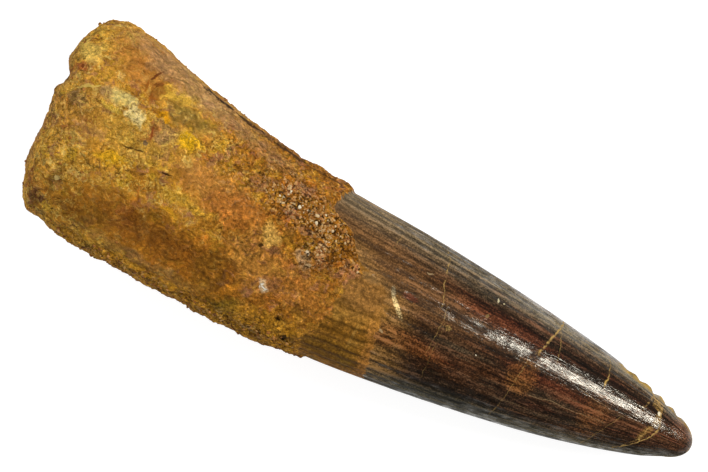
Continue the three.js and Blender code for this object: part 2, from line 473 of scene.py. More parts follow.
def oval(g, place, spot):
    """1 in the middle of an oval place, fading softly to 0 round it."""
    return (-off_centre(g, place, *oval_frame(spot))).exp()


# %% [markdown]
# What makes this tooth itself is its own damage: a long dish down one side of the root, a groove and
# cracks along the back edge, a notch in the break, and chips near the point. They are listed by place and
# size, so that each can be moved alone. The flat spot is where the underside is worn level to lie on.

# %% Hollows, lumps and chips
# Hollows and lumps on the upper side: x, y, half sizes along and across, turn in degrees, height.
MARKS = {
    "dished side": (-29.5, -8.6, 12.0, 3.4, 0, -1.0),
    "ridge beside it": (-33.0, -3.4, 8.0, 1.8, 0, 0.45),
    "groove under the dish": (-26.0, -13.3, 16.0, 0.45, 0, -0.35),
    "back groove": (-23.0, 10.4, 8.5, 1.0, -14, -0.55),
    "upper saddle": (-35.0, 7.6, 6.0, 3.0, 0, -0.5),
    "crust hump": (-12.0, 3.0, 7.0, 4.0, 0, 0.4),
    "crust nodule": (-6.6, -0.9, 1.3, 1.0, 20, 0.45),
    "crescent pit": (-30.3, -0.7, 0.9, 0.5, 15, -0.5),
    "upper fracture": (-38.0, 9.6, 1.5, 0.28, 70, -0.5),
    "middle fracture": (-36.9, 7.2, 1.3, 0.25, -35, -0.4),
    "lower fracture": (-35.2, 3.6, 1.6, 0.22, 80, -0.35),
    "side groove": (-36.8, 0.6, 1.8, 0.3, 20, -0.5),
    "edge crack": (-29.5, 11.9, 1.8, 0.25, -20, -0.5),
    "back dent": (-38.6, 13.2, 0.9, 0.8, 0, -0.5),
    "end notch": (-49.4, 4.9, 2.0, 1.5, 0, -0.9),
    "corner hollow": (-45.6, -11.4, 1.5, 1.0, 0, -0.6),
    "small hole": (-14.9, -2.6, 0.5, 0.45, 0, -0.6),
    "lower hole": (-17.6, -5.1, 0.7, 0.5, 0, -0.5),
    "front hole": (-8.2, -10.4, 0.5, 0.4, 0, -0.5),
    "front hole beside it": (-6.2, -12.4, 0.6, 0.4, 0, -0.5),
}
# Notches where flakes have gone from the back edge near the point: x, half length, depth.
CHIPS = ((38.0, 1.3, 0.28), (40.3, 1.0, 0.34), (42.9, 0.9, 0.45), (45.1, 1.1, 0.5), (47.2, 0.9, 0.32))
# Shares of a turn: how far a chip reaches round the back edge, and where that edge is.
CHIP_REACH = 30 / 360
BACK_EDGE = 0.25
# The flat spot on the underside, given as a mark without a height.
FLAT_SPOT = (-14.0, -1.5, 15.0, 7.0, 0)


def mark_height(g, skin):
    """The height of all marks together."""
    height = 0.0
    for *spot, tallness in MARKS.values():
        height = oval(g, skin.place, spot) * tallness + height
    return height * skin.faces_up


def chip_depth(g, skin):
    """How deep the back edge is chipped. Each chip is a ragged V."""
    off_back_edge = abs(skin.around - BACK_EDGE) / CHIP_REACH
    ragged = g.noise(skin.place, 0.8, detail=2) * 0.35
    depth = 0.0
    for chip_x, half_length, deepest in CHIPS:
        from_chip = (skin.along - chip_x) / half_length
        hollow = 1 - (abs(from_chip) + off_back_edge * off_back_edge + ragged)
        depth = hollow.most(0.0) * deepest + depth
    return depth


print("marks:", len(MARKS), "and chips:", len(CHIPS))

# %% [markdown]
# The crust isn't rough all over. In the dish and along the back it was smeared smooth while it was still
# soft, and elsewhere coarse sand stands out of it. Two lists of oval places say where. Their sums are
# covers, from 0 to 1, that the relief, the loose grains and the colours share.

# %% Smooth places and sandy places
# Where the crust is smeared smooth: x, y, half sizes, turn and how smooth.
SMOOTH_PLACES = (
    (-26.5, -8.5, 14.0, 4.6, 0, 0.85),
    (-24.0, 1.2, 7.5, 2.8, 0, 0.7),
    (-39.5, 11.0, 4.5, 3.2, -15, 0.7),
    (-45.0, 8.5, 3.0, 3.6, 0, 0.5),
    (-43.5, 0.5, 2.6, 2.2, 0, 0.4),
    (-32.0, 8.2, 4.5, 2.0, 0, 0.7),
    (-32.0, 12.4, 11.0, 1.8, -12, 0.7),
    (-8.0, -6.5, 8.0, 3.6, 0, 0.35),
    (-16.0, 8.0, 6.0, 2.2, -10, 0.3),
)
# Where grains lie: x, y, half sizes along and across, turn, density.
SANDY_PLACES = (
    (-9.5, 3.6, 7.0, 2.6, -25, 1.0),
    (-6.0, 4.4, 3.4, 1.3, -30, 0.7),
    (-15.5, 4.6, 3.0, 2.0, 0, 0.7),
    (-8.3, -0.9, 2.2, 1.6, 0, 0.9),
    (-1.2, 0.9, 1.8, 0.8, 0, 0.9),
    (-22.0, 4.0, 5.0, 3.0, 0, 0.3),
    (-30.0, -14.2, 16.0, 0.9, 0, 0.6),
    (-9.0, -13.2, 8.0, 0.9, 5, 0.55),
    (-46.0, -2.0, 3.0, 9.0, 0, 0.4),
    (-20.0, 9.5, 14.0, 1.6, -12, 0.2),
)
SMOOTHEST = 0.85


def smooth_cover(g, place, faces_up):
    """How smooth the crust is smeared."""
    cover = 0.0
    for *spot, smoothness in SMOOTH_PLACES:
        cover = off_centre(g, place, *oval_frame(spot)).step(1.7, 0.4) * smoothness + cover
    return cover.least(SMOOTHEST) * faces_up


def sand_cover(g, skin, crust):
    """How densely the surface is set with grains."""
    cover = (1 - skin.faces_up) * 0.35
    for *spot, density in SANDY_PLACES:
        cover = oval(g, skin.place, spot) * density * skin.faces_up + cover
    return (cover + 0.06).least(1.0) * skin.past_crust.step(0.5, -0.5) * crust


print("smooth places:", len(SMOOTH_PLACES), "and sandy places:", len(SANDY_PLACES))

# %% [markdown]
# A tree of Geometry Nodes has inputs and outputs like a function. Its sizes are inputs with names, so
# they can be changed later in the modifier. Both trees end in the same way: instances are made real and
# the finish is set. Numbers that a later step needs are noted on the points as named attributes.

# %% Opening and closing a geometry tree
def new_tree(kind, name, inputs, outputs):
    """An empty node tree with sockets given as (name, value). A value of None is a material's."""
    tree = bpy.data.node_groups.new(name, kind)
    for in_out, sockets in (("INPUT", inputs), ("OUTPUT", outputs)):
        for label, value in sockets:
            size = len(value) if isinstance(value, tuple) else None
            kinds = {None: "Float", 0: "Geometry", 3: "Vector", 4: "Color"}
            socket_kind = "Material" if value is None else kinds[size]
            socket = tree.interface.new_socket(label, in_out=in_out, socket_type="NodeSocket" + socket_kind)
            if value is not None and size != 0:
                socket.default_value = value
    return tree


GEOMETRY = (("Geometry", ()),)
FINISH = (("Finish", None),)


def open_geometry_tree(name, inputs):
    """A new geometry tree with named inputs, and the node that gives them."""
    tree = new_tree("GeometryNodeTree", name, GEOMETRY + inputs + FINISH, GEOMETRY)
    tree.is_modifier = True
    g = Graph(tree)
    return g, g.node("NodeGroupInput")


def close_geometry_tree(g, geometry, given):
    """Makes instances real, sets the finish and gives the tree out."""
    made = g.node("GeometryNodeRealizeInstances", {}, {"Geometry": geometry})
    done = g.node("GeometryNodeSetMaterial", {}, {"Geometry": made, "Material": given.also("Finish")})
    g.node("NodeGroupOutput", {}, {"Geometry": done})
    return g.tree


def noted(g, name):
    """A number that is noted on each point."""
    return g.node("GeometryNodeInputNamedAttribute", {"data_type": "FLOAT"}, {"Name": name})


def note(g, geometry, name, value, domain="POINT"):
    """Notes a number on each point, or on each instance."""
    settings = {"data_type": "FLOAT", "domain": domain}
    values = {"Geometry": geometry, "Name": name, "Value": value}
    return g.node("GeometryNodeStoreNamedAttribute", settings, values)


# %% [markdown]
# Four kinds of height make the relief. The flutes are a cosine wave round the tooth, and a power makes
# their ridges narrower than the valleys. The crust is a step up from the enamel. Noises of three sizes
# give it waves, clots and grit, and the cells of a Voronoi pattern give it pits and, where it is sandy,
# round lumps. The marks and the chips come on top. All of this could be sculpted by hand, but a formula
# can be tuned, and it comes out the same each time.

# %% Where a point of the skin lies
class Skin:
    """The coordinates that every part of the relief shares, in millimetres and shares of a turn.

    Angles are in radians: 0 at the back edge, 1.57 along the top and 3.14 at the front edge.
    """

    def __init__(self, g):
        self.place = g.scaled(g.node("GeometryNodeInputPosition"), 1 / MM)
        self.around = noted(g, "around")
        self.along = noted(g, "along")
        self.angle = turn_angle(self.around)
        self.barrel = barrel_place(g, self.angle, self.along)
        self.faces_up = self.angle.sin().step(-0.3, 0.1)
        ragged = g.noise(self.place, 2.5, detail=4) * 0.7
        crust_edge, enamel_edge = (
            g.curve(self.around, turned_edge(edge), EDGE_ENDS) for edge in (CRUST_EDGE, ENAMEL_EDGE)
        )
        self.past_crust = self.along - crust_edge + ragged
        self.past_enamel = self.along - enamel_edge + ragged * 0.8


# %% Flutes: ridges that are lower towards the point and worn off along the top
def flute_height(g, skin, given):
    wave = (skin.angle * given("Flute Count") + flute_sway(g, skin.place, skin.barrel)).cos()
    ridge = wave * 0.5 + 0.5
    uneven = g.noise(skin.barrel, 1.2, squeezed=(1.0, 1.0, 0.4)) * 1.2 + 0.9
    worn_tip = skin.along.step(TIP_X - 2, TIP_X - 11)
    taper = skin.along.step(22.0, -2.0) * 0.75 + 0.25
    flutes = (ridge ** 1.4 - 0.5) * given("Flute Height") * uneven * worn_tip * taper
    worn_top = skin.angle.step(0.65, 0.95) * skin.angle.step(2.1, 1.7) * skin.along.step(8.0, 20.0)
    return flutes * skin.past_crust.step(-0.3, 1.5) * (1 - worn_top * 0.85)


# %% Crust: a step up from the enamel, with clots, waves, grit, pits and lumps of sand on it
def crust_height(g, skin, given):
    """The crust's height, and how densely it is set with grains."""
    place = skin.place
    thin = skin.angle.step(1.3, 1.6) * skin.angle.step(2.7, 2.3)
    crust = (skin.past_crust / (thin * 5 + 1)).step(0.35, -0.35) * (1 - thin * 0.3)
    clots = g.noise(place, 2.2, detail=3, roughness=0.55) * 1.5 * given("Clot Height")
    waves = g.noise(place, 8.0, detail=1) * 1.4 * given("Wave Height")
    grit = g.noise(place, 0.7, detail=3, roughness=0.7) * given("Grit Height")
    cells = g.cells(place, 0.75)
    cell_tone = g.separate(cells.also("Color"))[0]
    pits = cells.step(0.42, 0.12) * cell_tone.step(0.72, 0.85) * given("Pit Depth")
    calm = 1 - smooth_cover(g, place, skin.faces_up)
    sand = sand_cover(g, skin, crust)
    lumps = (0.5 - g.cells(place, 0.85)) * sand * given("Lump Height")
    worn_flat = (1 - skin.faces_up) * oval(g, place, FLAT_SPOT)
    roughness = ((clots + grit - pits) * calm + lumps + waves) * (1 - worn_flat)
    return crust * (given("Crust Height") + roughness), sand


# %% The relief tree: all heights in one sum, in millimetres
RELIEF_INPUTS = (
    ("Flute Count", FLUTE_COUNT),
    ("Flute Height", 0.14),
    ("Crust Height", 0.42),
    ("Clot Height", 0.5),
    ("Wave Height", 0.35),
    ("Grit Height", 0.3),
    ("Pit Depth", 0.35),
    ("Lump Height", 0.5),
)


def relief_tree():
    g, given = open_geometry_tree("tooth relief", RELIEF_INPUTS)
    skin = Skin(g)
    crust, sand = crust_height(g, skin, given.also)
    chips = chip_depth(g, skin)
    height = flute_height(g, skin, given.also) + crust + mark_height(g, skin) - chips
    calm_point = skin.along.step(TIP_X - 0.1, TIP_X - 3) * 0.8 + 0.2
    push = g.scaled(g.node("GeometryNodeInputNormal"), height * calm_point * MM)
    raised = g.node("GeometryNodeSetPosition", {}, {"Geometry": given, "Offset": push})
    above_floor = g.vector("MAXIMUM", g.node("GeometryNodeInputPosition"), (-1.0, -1.0, 0.0))
    rested = g.node("GeometryNodeSetPosition", {}, {"Geometry": raised, "Position": above_floor})
    notes = {"past_crust": skin.past_crust, "past_enamel": skin.past_enamel, "sand": sand, "chips": chips}
    for name, value in notes.items():
        rested = note(g, rested, name, value)
    return close_geometry_tree(g, rested, given)


# %% [markdown]
# ## Loose sand in the crust
#
# The crust is coarse sand in a finer cement. Bump alone can't give grains that catch the light one by
# one, so real grains are set into it, densest over the middle of the root and along its front edge. The
# relief tree notes how dense they lie, and a second tree scatters them. Each is a twenty-sided pebble,
# because it is there a few thousand times.

# %% The tree that scatters grains
GRAIN_INPUTS = (("Grains Per Square Metre", 6e6), ("Grain Radius", 0.00019))
SEEDS = {"places": 5, "turns": 11, "stretches": 12, "sizes": 13, "tones": 14}
FULL_TURN = (6.283, 6.283, 6.283)
# Heights in metres between which the grains thin out, because the tooth lies on bare rock.
BARE_BELOW = 0.0006
SANDY_ABOVE = 0.0012
# Where there is little sand, the tones are drawn together towards this one.
MIDDLE_TONE = 0.38


def drawn(g, name, low, high):
    """A number or a vector that is drawn at random for each grain."""
    if isinstance(low, tuple):
        values = {"Min": low, "Max": high, "Seed": SEEDS[name]}
        return g.node("FunctionNodeRandomValue", {"data_type": "FLOAT_VECTOR"}, values)
    values = {"Min_001": low, "Max_001": high, "Seed": SEEDS[name]}
    return g.node("FunctionNodeRandomValue", {"data_type": "FLOAT"}, values, "Value_001")


def grain_tree():
    g, given = open_geometry_tree("sand grains", GRAIN_INPUTS)
    sand = noted(g, "sand")
    off_floor = g.separate(g.node("GeometryNodeInputPosition"))[2].step(BARE_BELOW, SANDY_ABOVE)
    density = sand * sand * given.also("Grains Per Square Metre") * off_floor
    values = {"Mesh": given, "Density": density, "Seed": SEEDS["places"]}
    points = g.node("GeometryNodeDistributePointsOnFaces", {"distribute_method": "RANDOM"}, values)
    pebble = g.node("GeometryNodeMeshIcoSphere", {}, {"Radius": 1.0, "Subdivisions": 1})
    turn = drawn(g, "turns", (0, 0, 0), FULL_TURN)
    stretch = drawn(g, "stretches", (0.6, 0.6, 0.5), (1.4, 1.3, 1.0))
    size = drawn(g, "sizes", 0.45, 1.25)
    scale = g.scaled(stretch, size * size * given.also("Grain Radius"))
    values = {"Points": points, "Instance": pebble, "Rotation": turn, "Scale": scale}
    grains = g.node("GeometryNodeInstanceOnPoints", {}, values)
    tone = drawn(g, "tones", 0.0, 1.0) - MIDDLE_TONE
    tone = tone * (sand * 0.8 + 0.2) + MIDDLE_TONE
    return close_geometry_tree(g, note(g, grains, "tone", tone, "INSTANCE"), given)


# %% Run a tree on a piece and keep the result as a plain mesh
def grow(piece, tree, **inputs):
    """Applies a geometry tree, with its inputs given by name."""
    modifier = piece.modifiers.new(tree.name, "NODES")
    modifier.node_group = tree
    sockets = {s.name: s for s in tree.interface.items_tree if s.in_out == "INPUT"}
    for name, value in inputs.items():
        modifier[sockets[name.replace("_", " ")].identifier] = value
    evaluated = piece.evaluated_get(bpy.context.evaluated_depsgraph_get())
    mesh = bpy.data.meshes.new_from_object(evaluated)
    piece.modifiers.clear()
    piece.data = mesh
    return piece


# %% [markdown]
# ## The finish
#
# Three finishes meet on the tooth. The enamel is dark, glossy and streaked along its flutes. A collar of
# worn, ochre-stained enamel lies between it and the crust. The crust is dull, mottled sandstone stained by
# iron. Each finish is a formula for colour, roughness and fine height, and the edges noted by the relief
# tree choose between them.
#
# The renderer holds only some 250 values of one material at once. Past that the tooth comes out black, so
# each formula is used up soon after it is made, and after a new patch of colour a test render is due.

# %% Colours, as hex numbers of the finish seen in plain light
def paint(hex_colour):
    """A hex colour as Blender's linear red, green, blue and alpha."""
    parts = [int(hex_colour[i : i + 2], 16) / 255 for i in (1, 3, 5)]
    linear = [c / 12.92 if c <= 0.04045 else ((c + 0.055) / 1.055) ** 2.4 for c in parts]
    return (*linear, 1.0)


def palette(**colours):
    """Colours of a finish, by name."""
    return SimpleNamespace(**{name: paint(colour) for name, colour in colours.items()})


def mixed(g, factor, first, second):
    """Two colours mixed by a factor."""
    values = {"Factor_Float": factor, "A_Color": first, "B_Color": second}
    return g.node("ShaderNodeMix", {"data_type": "RGBA"}, values, "Result_Color")


def new_material(name):
    """A material with nothing in it yet, and the graph that fills it."""
    material = bpy.data.materials.new(name)
    material.use_nodes = True
    material.node_tree.nodes.clear()
    return material, Graph(material.node_tree)


def attribute(g, name):
    """A number that the trees have noted on the surface."""
    return g.node("ShaderNodeAttribute", {"attribute_type": "GEOMETRY", "attribute_name": name}, (), "Fac")


# %% [markdown]
# Each finish reads places in three ways. Stains in stone have no direction, so they are read in plain
# millimetres. Streaks are read on the barrel. What follows the tooth's own edges, such as a crack round
# the crown, is read from the UV map that was laid with the skin. All of them stay fixed to the surface,
# whichever side it is seen from.

# %% The coordinates of the finishes
class Ground:
    """The coordinates that every finish shares, in the same measures as the relief's."""

    def __init__(self, g):
        self.place = g.scaled(g.node("ShaderNodeTexCoord", {}, (), "Object"), 1 / MM)
        wrap = g.node("ShaderNodeUVMap", {"uv_map": "wrap"})
        self.around, share_along, _ = g.separate(wrap)
        self.along = share_along * (TIP_X - END_X) + END_X
        self.angle = turn_angle(self.around)
        self.up = self.angle.sin().step(-0.1, 0.25)
        self.past_crust = attribute(g, "past_crust")
        self.past_enamel = attribute(g, "past_enamel")
        self.sand = attribute(g, "sand")
        self.chips = attribute(g, "chips")
        self.barrel = barrel_place(g, self.angle, self.along)


# %% [markdown]
# A stain, a stone or a scar of its own colour is an oval with a ragged rim, laid over the finish. More than
# a hundred are laid, so one oval is a group of nodes, and each use of the group gets its own place, size
# and colour. Patches are broad and soft, and their rims follow the grain of the stone. Flecks are small
# and sharp, and hardly sway, so that a crack stays a line.

# %% Patches and flecks of colour
WHITE = (1.0, 1.0, 1.0, 1.0)
ORIGIN = (0.0, 0.0, 0.0)


def patch_group():
    """One oval patch of colour, as a group of its own, because more than a hundred are laid."""
    inputs = (
        ("Below", WHITE), ("Colour", WHITE), ("Place", ORIGIN), ("Ragged", 0.0), ("Centre", ORIGIN),
        ("Along Axis", ORIGIN), ("Across Axis", ORIGIN), ("Full", 0.0), ("Gone", 1.0), ("Strength", 1.0),
    )
    g = Graph(new_tree("ShaderNodeTree", "patch of colour", inputs, (("Result", WHITE),)))
    below = g.node("NodeGroupInput")
    given = below.also
    spread = off_centre(g, given("Place"), given("Centre"), given("Along Axis"), given("Across Axis"))
    ends = {"From Min": given("Full"), "From Max": given("Gone"), "To Min": given("Strength"), "To Max": 0.0}
    settings = {"interpolation_type": "SMOOTHSTEP"}
    cover = g.node("ShaderNodeMapRange", settings, {"Value": spread + given("Ragged"), **ends})
    g.node("NodeGroupOutput", {}, (mixed(g, cover, below, given("Colour")),))
    return g.tree


PATCH = patch_group()


def patched(g, place, colour, patches, ragged, full=0.2, gone=2.0):
    """Lays patches over a colour: x, y, half sizes, turn, strength and hex colour."""
    for *spot, strength, hex_colour in patches:
        centre, along_axis, across_axis = oval_frame(spot)
        values = {"Below": colour, "Colour": paint(hex_colour), "Place": place, "Ragged": ragged}
        values.update({"Centre": centre, "Along Axis": along_axis, "Across Axis": across_axis})
        values.update({"Full": full, "Gone": gone, "Strength": strength})
        colour = g.node("ShaderNodeGroup", {"node_tree": PATCH}, values)
    return colour


def flecked(g, ground, colour, flecks):
    """Lays small sharp flecks, cracks and ledge lines over a colour, with only a slight sway."""
    swayed = g.swayed(ground.place, ground.place, 0.7, 4.0, 1.0)
    worn = g.noise(ground.place, 0.5, detail=3, roughness=0.6)
    return patched(g, swayed, colour, flecks, worn, full=0.5, gone=1.2)


# %% [markdown]
# ### Enamel
#
# The crown is capped with enamel that the ground has stained a dark chocolate. Its streaks follow the
# flutes, so all of its noises but the specks are read on the barrel. Towards the crust it is browner and
# worn, and a few pale hair lines run along it. Its gloss is broken into short dashes, because real enamel
# is full of tiny dents.

# %% Enamel: the hair lines
# Strength, then points as millimetres along and degrees round.
HAIRS = (
    (0.6, ((23.0, 126.5), (27.5, 126), (31.4, 127))),
    (0.8, ((27.2, 110.5), (30.4, 108), (32.8, 109), (38.4, 109))),
    (0.7, ((26.8, 98), (31.4, 97), (34.2, 98), (37.7, 99))),
    (0.7, ((33.0, 84), (36.5, 88), (40.5, 92))),
    (0.7, ((40.6, 47), (43.0, 44))),
    (0.8, ((45.3, 94), (47.6, 99))),
)


def lengthwise_hairs(g, ground):
    """How much of the surface is pale hair line, from 0 to 1."""
    sway = g.noise(ground.place, 3.0, detail=4) * 0.06 + ground.angle
    cover = 0.0
    for strength, points in HAIRS:
        first, last = points[0][0], points[-1][0]
        turns = [(x, math.radians(degrees)) for x, degrees in points]
        line = g.curve(ground.along, turns, (first, last, 0.0, math.pi))
        inside = ground.along.step(first - 0.3, first + 0.3) * ground.along.step(last + 0.3, last - 0.3)
        cover = (abs(sway - line).step(0.012, 0.002) * inside * strength).most(cover)
    return cover * (g.noise(ground.barrel, 0.6, detail=3) * 1.5 + 0.6)


print("hair lines along the crown:", len(HAIRS))

# %% Enamel: places of its own colour
ENAMEL_PATCHES = (
    (25.2, -1.2, 1.8, 2.2, 0, 0.6, "#744a22"),
    (36.5, -1.2, 1.8, 2.6, 0, 0.35, "#6a4220"),
    (30.0, -0.6, 7.0, 1.0, 0, 0.3, "#5f2c18"),
    (20.0, 4.0, 7.0, 0.9, 0, 0.35, "#5e2c18"),
    (48.8, 3.6, 1.6, 1.8, 0, 0.5, "#5e3a26"),
    (6.4, 1.0, 1.1, 0.4, 0, 0.5, "#74301f"),
    (13.0, -0.2, 0.4, 0.35, 0, 0.6, "#94763f"),
    (9.0, -4.6, 5.0, 1.0, -3, 0.4, "#6a3c16"),
    (5.5, -5.9, 1.8, 0.8, 0, 0.6, "#5a3216"),
    (5.3, -0.9, 1.7, 0.3, -42, 0.95, "#b79c68"),
    (4.0, 0.6, 0.7, 0.3, -60, 0.8, "#a5926c"),
    (44.1, 0.3, 1.5, 0.45, 68, 0.4, "#80602c"),
    (43.9, 4.4, 1.1, 0.5, -25, 0.65, "#8a6a34"),
    (44.7, 2.6, 0.8, 0.35, -75, 0.5, "#7c5f30"),
)
# Small flecks of clay and shell stuck on the enamel: x, y, half sizes, turn, strength and colour.
ENAMEL_FLECKS = (
    (17.3, 6.5, 0.16, 0.34, 20, 0.8, "#c4b690"),
    (18.2, 6.4, 0.22, 0.1, -10, 0.8, "#b8a880"),
    (16.9, 3.8, 0.3, 0.3, 0, 0.5, "#8a7448"),
    (18.0, -1.7, 0.13, 0.11, 0, 0.9, "#d8ccb0"),
    (44.6, 3.4, 0.22, 0.34, 20, 0.95, "#dccfae"),
    (43.7, -1.1, 0.2, 0.16, 0, 0.8, "#b0904c"),
    (35.9, 3.6, 0.17, 0.62, 4, 0.85, "#ae8c48"),
    (42.2, 3.1, 0.1, 0.1, 0, 0.6, "#c8b98c"),
    (5.0, -5.0, 0.25, 0.2, 0, 0.8, "#b0946a"),
    (7.4, 5.2, 0.6, 0.12, -3, 0.5, "#a58c64"),
)

print("enamel:", len(ENAMEL_PATCHES), "patches and", len(ENAMEL_FLECKS), "flecks")

# %% Enamel: the finish
ENAMEL = palette(
    dark="#26170d", chocolate="#402614", red_streak="#522a18", grey_streak="#3a3224", shaded_side="#1c160c",
    near_crust="#5f4123", ochre="#876231", back_edge="#6a624a", front_edge="#4a4833", pale_streak="#705440",
    hair="#8c7250",
)
# Where the widest crack breaks the line of light.
LIGHT_GAP = (25.3, 2.2, 1.1, 1.8, 0)


def enamel_finish(g, ground):
    """Colour, roughness, fine height in millimetres and gloss."""
    barrel, place = ground.barrel, ground.place
    streak = g.noise(barrel, 0.65, detail=6, roughness=0.7)
    broad = g.noise(barrel, 3.0, detail=3)
    hue = g.noise(barrel, 1.4, detail=5, roughness=0.65, moved=(13.0, 5.0, 7.0))
    fine_streak = g.noise(barrel, 0.25, detail=4, roughness=0.65, squeezed=(1.0, 1.0, 2.0))
    long_barrel = g.vector("MULTIPLY", barrel, (1.0, 1.0, 0.35))
    line = g.noise(long_barrel, 0.38, detail=3, roughness=0.6)
    band = g.noise(long_barrel, 1.0, detail=2)
    speck = g.noise(place, 0.22, detail=2, roughness=0.6)
    flute_light_and_shade = (ground.angle * FLUTE_COUNT + flute_sway(g, place, barrel)).cos()
    upper_edge = ground.angle.step(0.95, 0.45) * ground.up
    lower = ground.angle.step(1.9, 2.5) * ground.up
    colour = mixed(g, (broad * 1.4 + 0.5).step(0.1, 0.9), ENAMEL.dark, ENAMEL.chocolate)
    colour = mixed(g, hue.step(0.02, 0.35) * 0.55, colour, ENAMEL.red_streak)
    colour = mixed(g, (-hue).step(0.02, 0.4) * 0.7, colour, ENAMEL.grey_streak)
    colour = mixed(g, lower * 0.7, colour, ENAMEL.shaded_side)
    near_crust = ground.past_enamel.step(26.0, 0.0) * ground.angle.step(1.85, 1.25) * ground.up
    colour = mixed(g, (near_crust * (1.0 + streak * 0.4)).least(0.95), colour, ENAMEL.near_crust)
    ochre = ground.past_enamel.step(6.0, 0.0) * ground.angle.step(0.85, 1.2) * ground.up
    colour = mixed(g, ochre * 0.6, colour, ENAMEL.ochre)
    # Both edges are paler and greyer: partly the enamel's own tone and partly painted reflection of the
    # white floor at the grazing edges.
    colour = mixed(g, upper_edge * 0.5, colour, ENAMEL.back_edge)
    colour = mixed(g, ground.angle.step(2.35, 2.8) * 0.55, colour, ENAMEL.front_edge)
    colour = patched(g, place, colour, ENAMEL_PATCHES, streak * -0.6 - speck * 1.2)
    lines = band * 1.7 + streak * 1.4 + line * 2.2 + fine_streak * 2.2 + speck * 2.6
    # The flute wave is painted light and shade: ridges lighter and grooves darker, most of all along the
    # back edge, where the flutes are seen at a grazing angle.
    lines = (lines + flute_light_and_shade * 0.14) * (1 - near_crust * 0.4) + flute_light_and_shade * upper_edge * 0.3
    colour = g.scaled(colour, (lines - 0.07).least(1.0).exp())
    colour = mixed(g, lines.step(0.4, 1.4) * 0.3, colour, ENAMEL.pale_streak)
    plain = colour
    colour = mixed(g, lengthwise_hairs(g, ground) * (speck + 0.8), colour, ENAMEL.hair)
    colour = flecked(g, ground, colour, ENAMEL_FLECKS)
    colour = mixed(g, ground.up, plain, colour)
    patchy = g.noise(place, 1.2, detail=5, roughness=0.7, squeezed=(0.5, 1.0, 1.0))
    gap = oval(g, place, LIGHT_GAP)
    worn = near_crust * 0.75 + ground.along.step(26.0, 15.0) * 0.3 + gap * 0.7
    gloss = (0.7 - worn + patchy * 2.4 - lower * 0.5).most(0.03).least(1.0)
    peel = g.noise(place, 0.5, detail=3, roughness=0.6, squeezed=(0.5, 1.0, 1.0))
    height = fine_streak * 0.01 + line * 0.015 + peel * 0.018
    return colour, 0.55 + streak * 0.1, height, gloss


# %% [markdown]
# ### Collar
#
# Between crust and bare enamel lies a belt where the enamel has lost its shine and taken up ochre. Its
# flutes are worn down, and the grooves between them are made darker. Each groove is a peak of one
# curve that runs round the tooth, which costs a single node for all of them.

# %% Collar: places of its own colour, and its dark grooves
COLLAR_PATCHES = (
    (0.4, 0.7, 1.4, 0.6, 0, 0.7, "#b5905a"),
    (-0.8, -4.4, 4.0, 1.6, 0, 0.6, "#8a6228"),
    (0.5, -10.5, 5.0, 1.6, 4, 0.6, "#5e420f"),
    (2.0, -7.5, 0.2, 1.6, 0, 0.7, "#a57a36"),
    (0.5, -1.5, 4.0, 2.6, 0, 0.85, "#775226"),
)
# Grooves between the flutes that are made darker: degrees round, half width in degrees, strength.
COLLAR_GROOVES = (
    (104, 1.6, 0.6), (116, 2.0, 0.9), (123, 2.2, 1.0), (129.5, 1.4, 0.5), (136, 2.2, 0.95), (145, 3.0, 0.8),
    (156, 2.6, 0.5),
)
GROOVES_END = (95.0, 165.0)


def groove_profile():
    """Points of a curve that rises to each groove's strength at its place, in degrees round."""
    points = [(GROOVES_END[0], 0.0)]
    for place, width, strength in COLLAR_GROOVES:
        points += [(place - width, 0.0), (place, strength), (place + width, 0.0)]
    return points + [(GROOVES_END[1], 0.0)]


print("collar:", len(COLLAR_PATCHES), "patches and", len(COLLAR_GROOVES), "grooves")

# %% Collar: the finish
COLLAR = palette(dark="#785013", light="#946526", olive="#84692c", groove="#432c08", rim="#94622c")


def collar_finish(g, ground):
    """Colour, roughness, fine height in millimetres and gloss."""
    streak = g.noise(ground.barrel, 1.2, detail=5, roughness=0.65)
    speck = g.noise(ground.place, 0.45, detail=4, roughness=0.75)
    hue = g.noise(ground.place, 3.0, detail=4)
    degrees = ground.angle * math.degrees(1) + g.noise(ground.place, 3.5, detail=3) * 3.5
    colour = mixed(g, (streak + 0.5).step(0.0, 1.0), COLLAR.dark, COLLAR.light)
    colour = mixed(g, hue.step(0.0, 0.4) * 0.5, colour, COLLAR.olive)
    colour = patched(g, ground.place, colour, COLLAR_PATCHES, speck * -1.0)
    grooves = g.curve(degrees, groove_profile(), (*GROOVES_END, 0.0, 1.0))
    grooves = grooves * (streak * 1.2 + speck * 0.6 + 0.95) * ground.past_enamel.step(-0.6, -1.6)
    colour = mixed(g, grooves.least(0.9), colour, COLLAR.groove)
    rim = (ground.past_enamel + speck * 2.4 + streak * 1.6).step(-1.7, -0.5) * ground.angle.step(1.7, 2.0)
    colour = mixed(g, rim * 0.65, colour, COLLAR.rim)
    colour = g.scaled(colour, (speck * 2.2 + streak * 0.9).exp())
    return colour, 0.7, speck * 0.09 + streak * 0.03, 0.02
